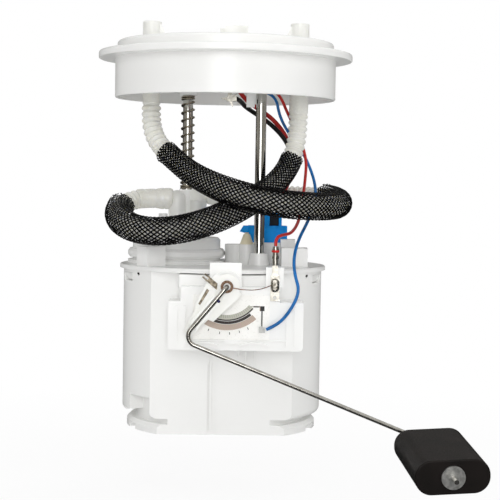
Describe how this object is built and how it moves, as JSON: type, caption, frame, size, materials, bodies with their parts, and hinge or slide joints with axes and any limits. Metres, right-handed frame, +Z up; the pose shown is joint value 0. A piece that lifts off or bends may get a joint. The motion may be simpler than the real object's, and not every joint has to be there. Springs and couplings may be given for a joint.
{
  "type": "in-tank fuel pump module",
  "caption": "In-tank fuel pump module: round lid on spring-loaded guide rods over a swirl pot with pump, braided hoses, level sender and a swinging float.",
  "frame": {"origin": "centre of the tank opening, in the plane of the lid flange's underside", "axes": "+Z up and out of the tank, -Y towards the level sender, +X towards the float"},
  "size_m": [0.1886, 0.2038, 0.2233],
  "materials": {
    "acetal_white": "glossy",
    "nylon_white": "satin",
    "nylon_blue": "satin",
    "tinned_brass": "satin",
    "polished_steel": "polished",
    "spring_steel": "dark oiled",
    "zinc_plated_steel": "satin",
    "hose_nylon": "satin",
    "braid_black": "woven",
    "insulation_red": "satin",
    "insulation_blue": "satin",
    "insulation_black": "satin",
    "float_foam": "fine matte",
    "board_ceramic": "glazed white",
    "track_ink": "matte",
    "copper": "bright",
    "solder": "bright",
    "ferrite": "ground",
    "carbon": "matte",
    "laminations": "stacked",
    "pump_casting": "as cast",
    "rubber_black": "matte",
    "filter_mesh": "fine mesh",
    "cap_cream": "satin"
  },
  "bodies": {
    "flange": {"lid": "acetal_white", "return_nipple": "nylon_white", "supply_nipple": "nylon_white", "connector_housing": "nylon_white", "connector_pins": "tinned_brass", "earth_clip": "tinned_brass", "front_guide_rod": "polished_steel", "rear_guide_rod": "polished_steel", "rod_clips": "spring_steel", "lift_spring": "spring_steel", "return_hose": "hose_nylon", "supply_hose": "hose_nylon", "return_sleeve": "braid_black", "supply_sleeve": "braid_black", "signal_wire": "insulation_blue", "ground_wire": "insulation_red", "positive_wire": "insulation_red", "negative_wire": "insulation_black"},
    "reservoir": {"pot": "acetal_white", "pot_cover": "acetal_white", "pump_holder": "acetal_white", "outlet_elbow": "nylon_white", "return_elbow": "nylon_white", "relief_valve": "nylon_white", "test_cap": "cap_cream", "wiring_plug": "nylon_blue", "pump_can": "zinc_plated_steel", "pump_outlet_cap": "nylon_white", "pump_inlet_cover": "pump_casting", "pump_magnets": "ferrite", "pump_brushes": "carbon", "inlet_strainer": "filter_mesh", "damper_rings": "rubber_black", "sender_bracket": "acetal_white", "resistor_board": "board_ceramic", "resistor_tracks": "track_ink", "signal_terminal": "solder", "ground_terminal": "tinned_brass", "solder_joint": "solder", "pivot_ring": "copper", "pigtail": "copper", "valve_guide": "nylon_white", "jet_nozzle": "nylon_white"},
    "pump_rotor": {"impeller": "pump_casting", "armature": "laminations", "commutator": "copper", "armature_shaft": "polished_steel"},
    "float_arm": {"wiper_carrier": "nylon_white", "contact_spring": "zinc_plated_steel", "float_rod": "polished_steel", "push_nut": "zinc_plated_steel"},
    "float": {"float_body": "float_foam"},
    "foot_valve": {"foot_valve": "rubber_black"}
  },
  "joints": [
    {"name": "reservoir_lift", "type": "slide", "parent": "flange", "child": "reservoir", "axis": [0, 0, 1], "range_m": [0, 0.025], "stiffness_N_per_m": 200, "springref_m": -0.02, "deforming": ["return_hose", "supply_hose", "signal_wire", "ground_wire", "positive_wire", "negative_wire", "return_sleeve", "supply_sleeve", "lift_spring"]},
    {"name": "float_swing", "type": "hinge", "parent": "reservoir", "child": "float_arm", "pos_m": [0.0022, -0.058, -0.1154], "axis": [0, -1, 0], "range_deg": [0, 75]},
    {"name": "float_roll", "type": "hinge", "parent": "float_arm", "child": "float", "pos_m": [0.10314, -0.09987, -0.19269], "axis": [0.0482, -0.9962, -0.0731], "continuous": true},
    {"name": "armature_spin", "type": "hinge", "parent": "reservoir", "child": "pump_rotor", "pos_m": [-0.025, 0.008, -0.13], "axis": [0, 0, 1], "continuous": true},
    {"name": "foot_valve_lift", "type": "slide", "parent": "reservoir", "child": "foot_valve", "axis": [0, 0, 1], "range_m": [0, 0.0015]}
  ]
}
